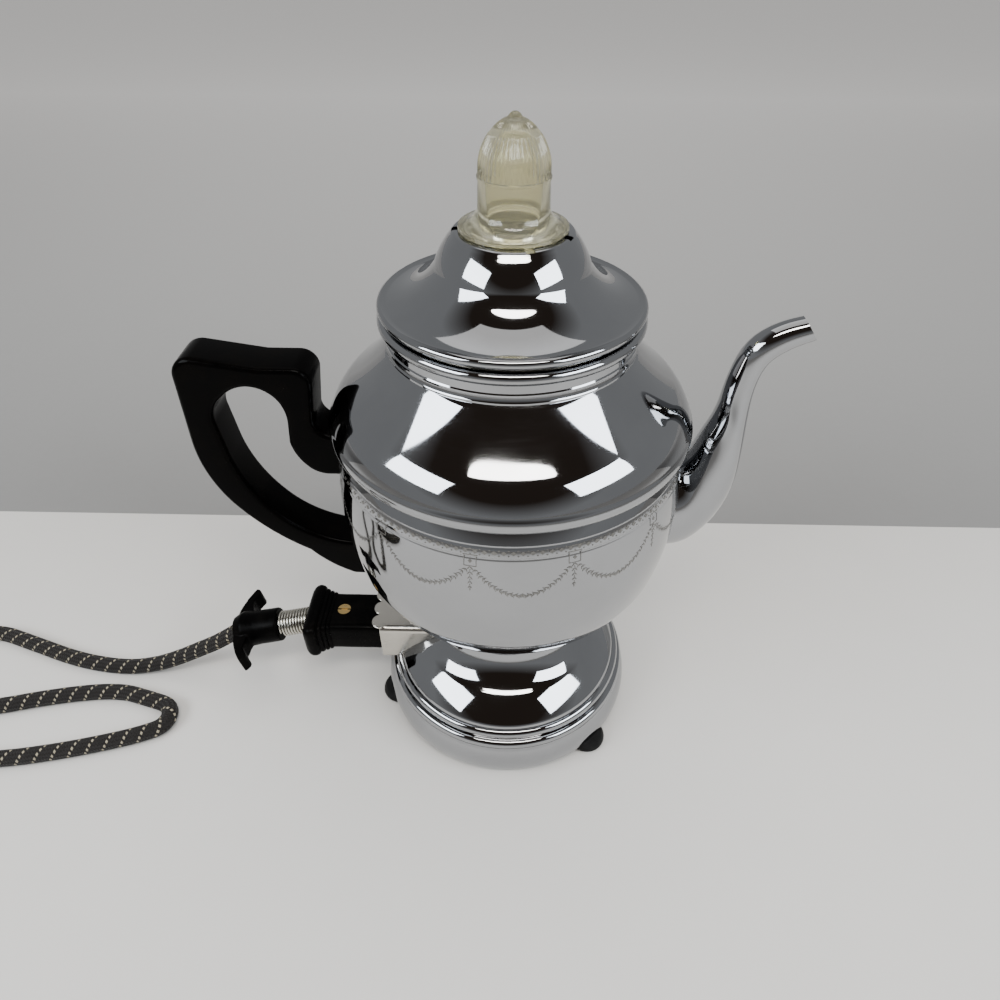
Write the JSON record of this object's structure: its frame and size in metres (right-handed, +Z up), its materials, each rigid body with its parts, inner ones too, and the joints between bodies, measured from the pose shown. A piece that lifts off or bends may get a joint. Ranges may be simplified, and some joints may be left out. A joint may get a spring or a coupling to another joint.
{
  "type": "electric coffee percolator",
  "caption": "Footed chrome percolator pot with side handle, curved spout, glass-topped lid, pump basket, and an appliance plug on a cloth-covered cord.",
  "frame": {"origin": "middle of the pot's own plan, from the handle's outer face to the spout's lip, at the plane its feet stand on; the pot's axis of revolution is 9.25 mm to +X of it", "axes": "+Z up along the pot's axis, +X towards the spout, -X towards the handle and the plug"},
  "size_m": [0.5139, 0.256, 0.2884],
  "materials": {
    "chrome": "bright chrome plate",
    "nickel": "satin nickel plate",
    "plate_steel": "plated steel",
    "cast_core": "cast iron",
    "insulator": "glazed insulating block",
    "ebonised": "polished black",
    "foot_black": "moulded black",
    "clear_glass": "clear pressed glass",
    "aluminium": "spun aluminium",
    "bakelite": "moulded black",
    "brass": "brass",
    "spring_steel": "nickelled wire",
    "cloth_braid": "black braid with pale tracers",
    "tie_cloth": "black tape"
  },
  "bodies": {
    "pot": {"pedestal": "chrome", "bottom_plate": "plate_steel", "foot_1": "foot_black", "foot_2": "foot_black", "foot_3": "foot_black", "foot_screws": "plate_steel", "body_shell": "chrome", "heater_well": "nickel", "heating_core": "cast_core", "clamp_plate": "plate_steel", "tie_rod": "plate_steel", "base_nut": "plate_steel", "pin_block": "insulator", "terminal_pins": "nickel", "shroud": "nickel", "handle": "ebonised", "handle_screws": "plate_steel", "spout": "chrome"},
    "pump": {"pump_tube": "aluminium", "pump_bell": "aluminium", "basket_stop": "aluminium", "coffee_basket": "aluminium"},
    "washer": {"pump_washer": "aluminium"},
    "cover": {"basket_cover": "aluminium"},
    "lid": {"lid_shell": "chrome", "lid_collar": "nickel"},
    "knob": {"glass_knob": "clear_glass"},
    "cord_set": {"plug_upper_half": "bakelite", "plug_lower_half": "bakelite", "plug_screw": "brass", "plug_nut": "brass", "contact_clips": "brass", "guard_spring": "spring_steel", "finger_grip": "bakelite", "cord_in_guard": "cloth_braid", "cord": "cloth_braid", "cord_tail": "cloth_braid", "cord_coil": "cloth_braid", "coil_tie": "tie_cloth", "wall_plug_body": "bakelite", "wall_plug_blades": "brass"}
  },
  "joints": [
    {"name": "pump_lift", "type": "slide", "parent": "pot", "child": "pump", "axis": [0, 0, 1], "range_m": [0, 0.175]},
    {"name": "washer_lift", "type": "slide", "parent": "pump", "child": "washer", "axis": [0, 0, 1], "range_m": [0, 0.0015]},
    {"name": "cover_lift", "type": "slide", "parent": "pump", "child": "cover", "axis": [0, 0, 1], "range_m": [0, 0.04]},
    {"name": "lid_lift", "type": "slide", "parent": "cover", "child": "lid", "axis": [0, 0, 1], "range_m": [0, 0.05]},
    {"name": "knob_twist", "type": "hinge", "parent": "lid", "child": "knob", "pos_m": [0.00925, 0, 0.25], "axis": [0, 0, 1], "range_deg": [-25, 0]},
    {"name": "plug_pull", "type": "slide", "parent": "pot", "child": "cord_set", "axis": [-1, 0, 0], "range_m": [0, 0.04]}
  ]
}
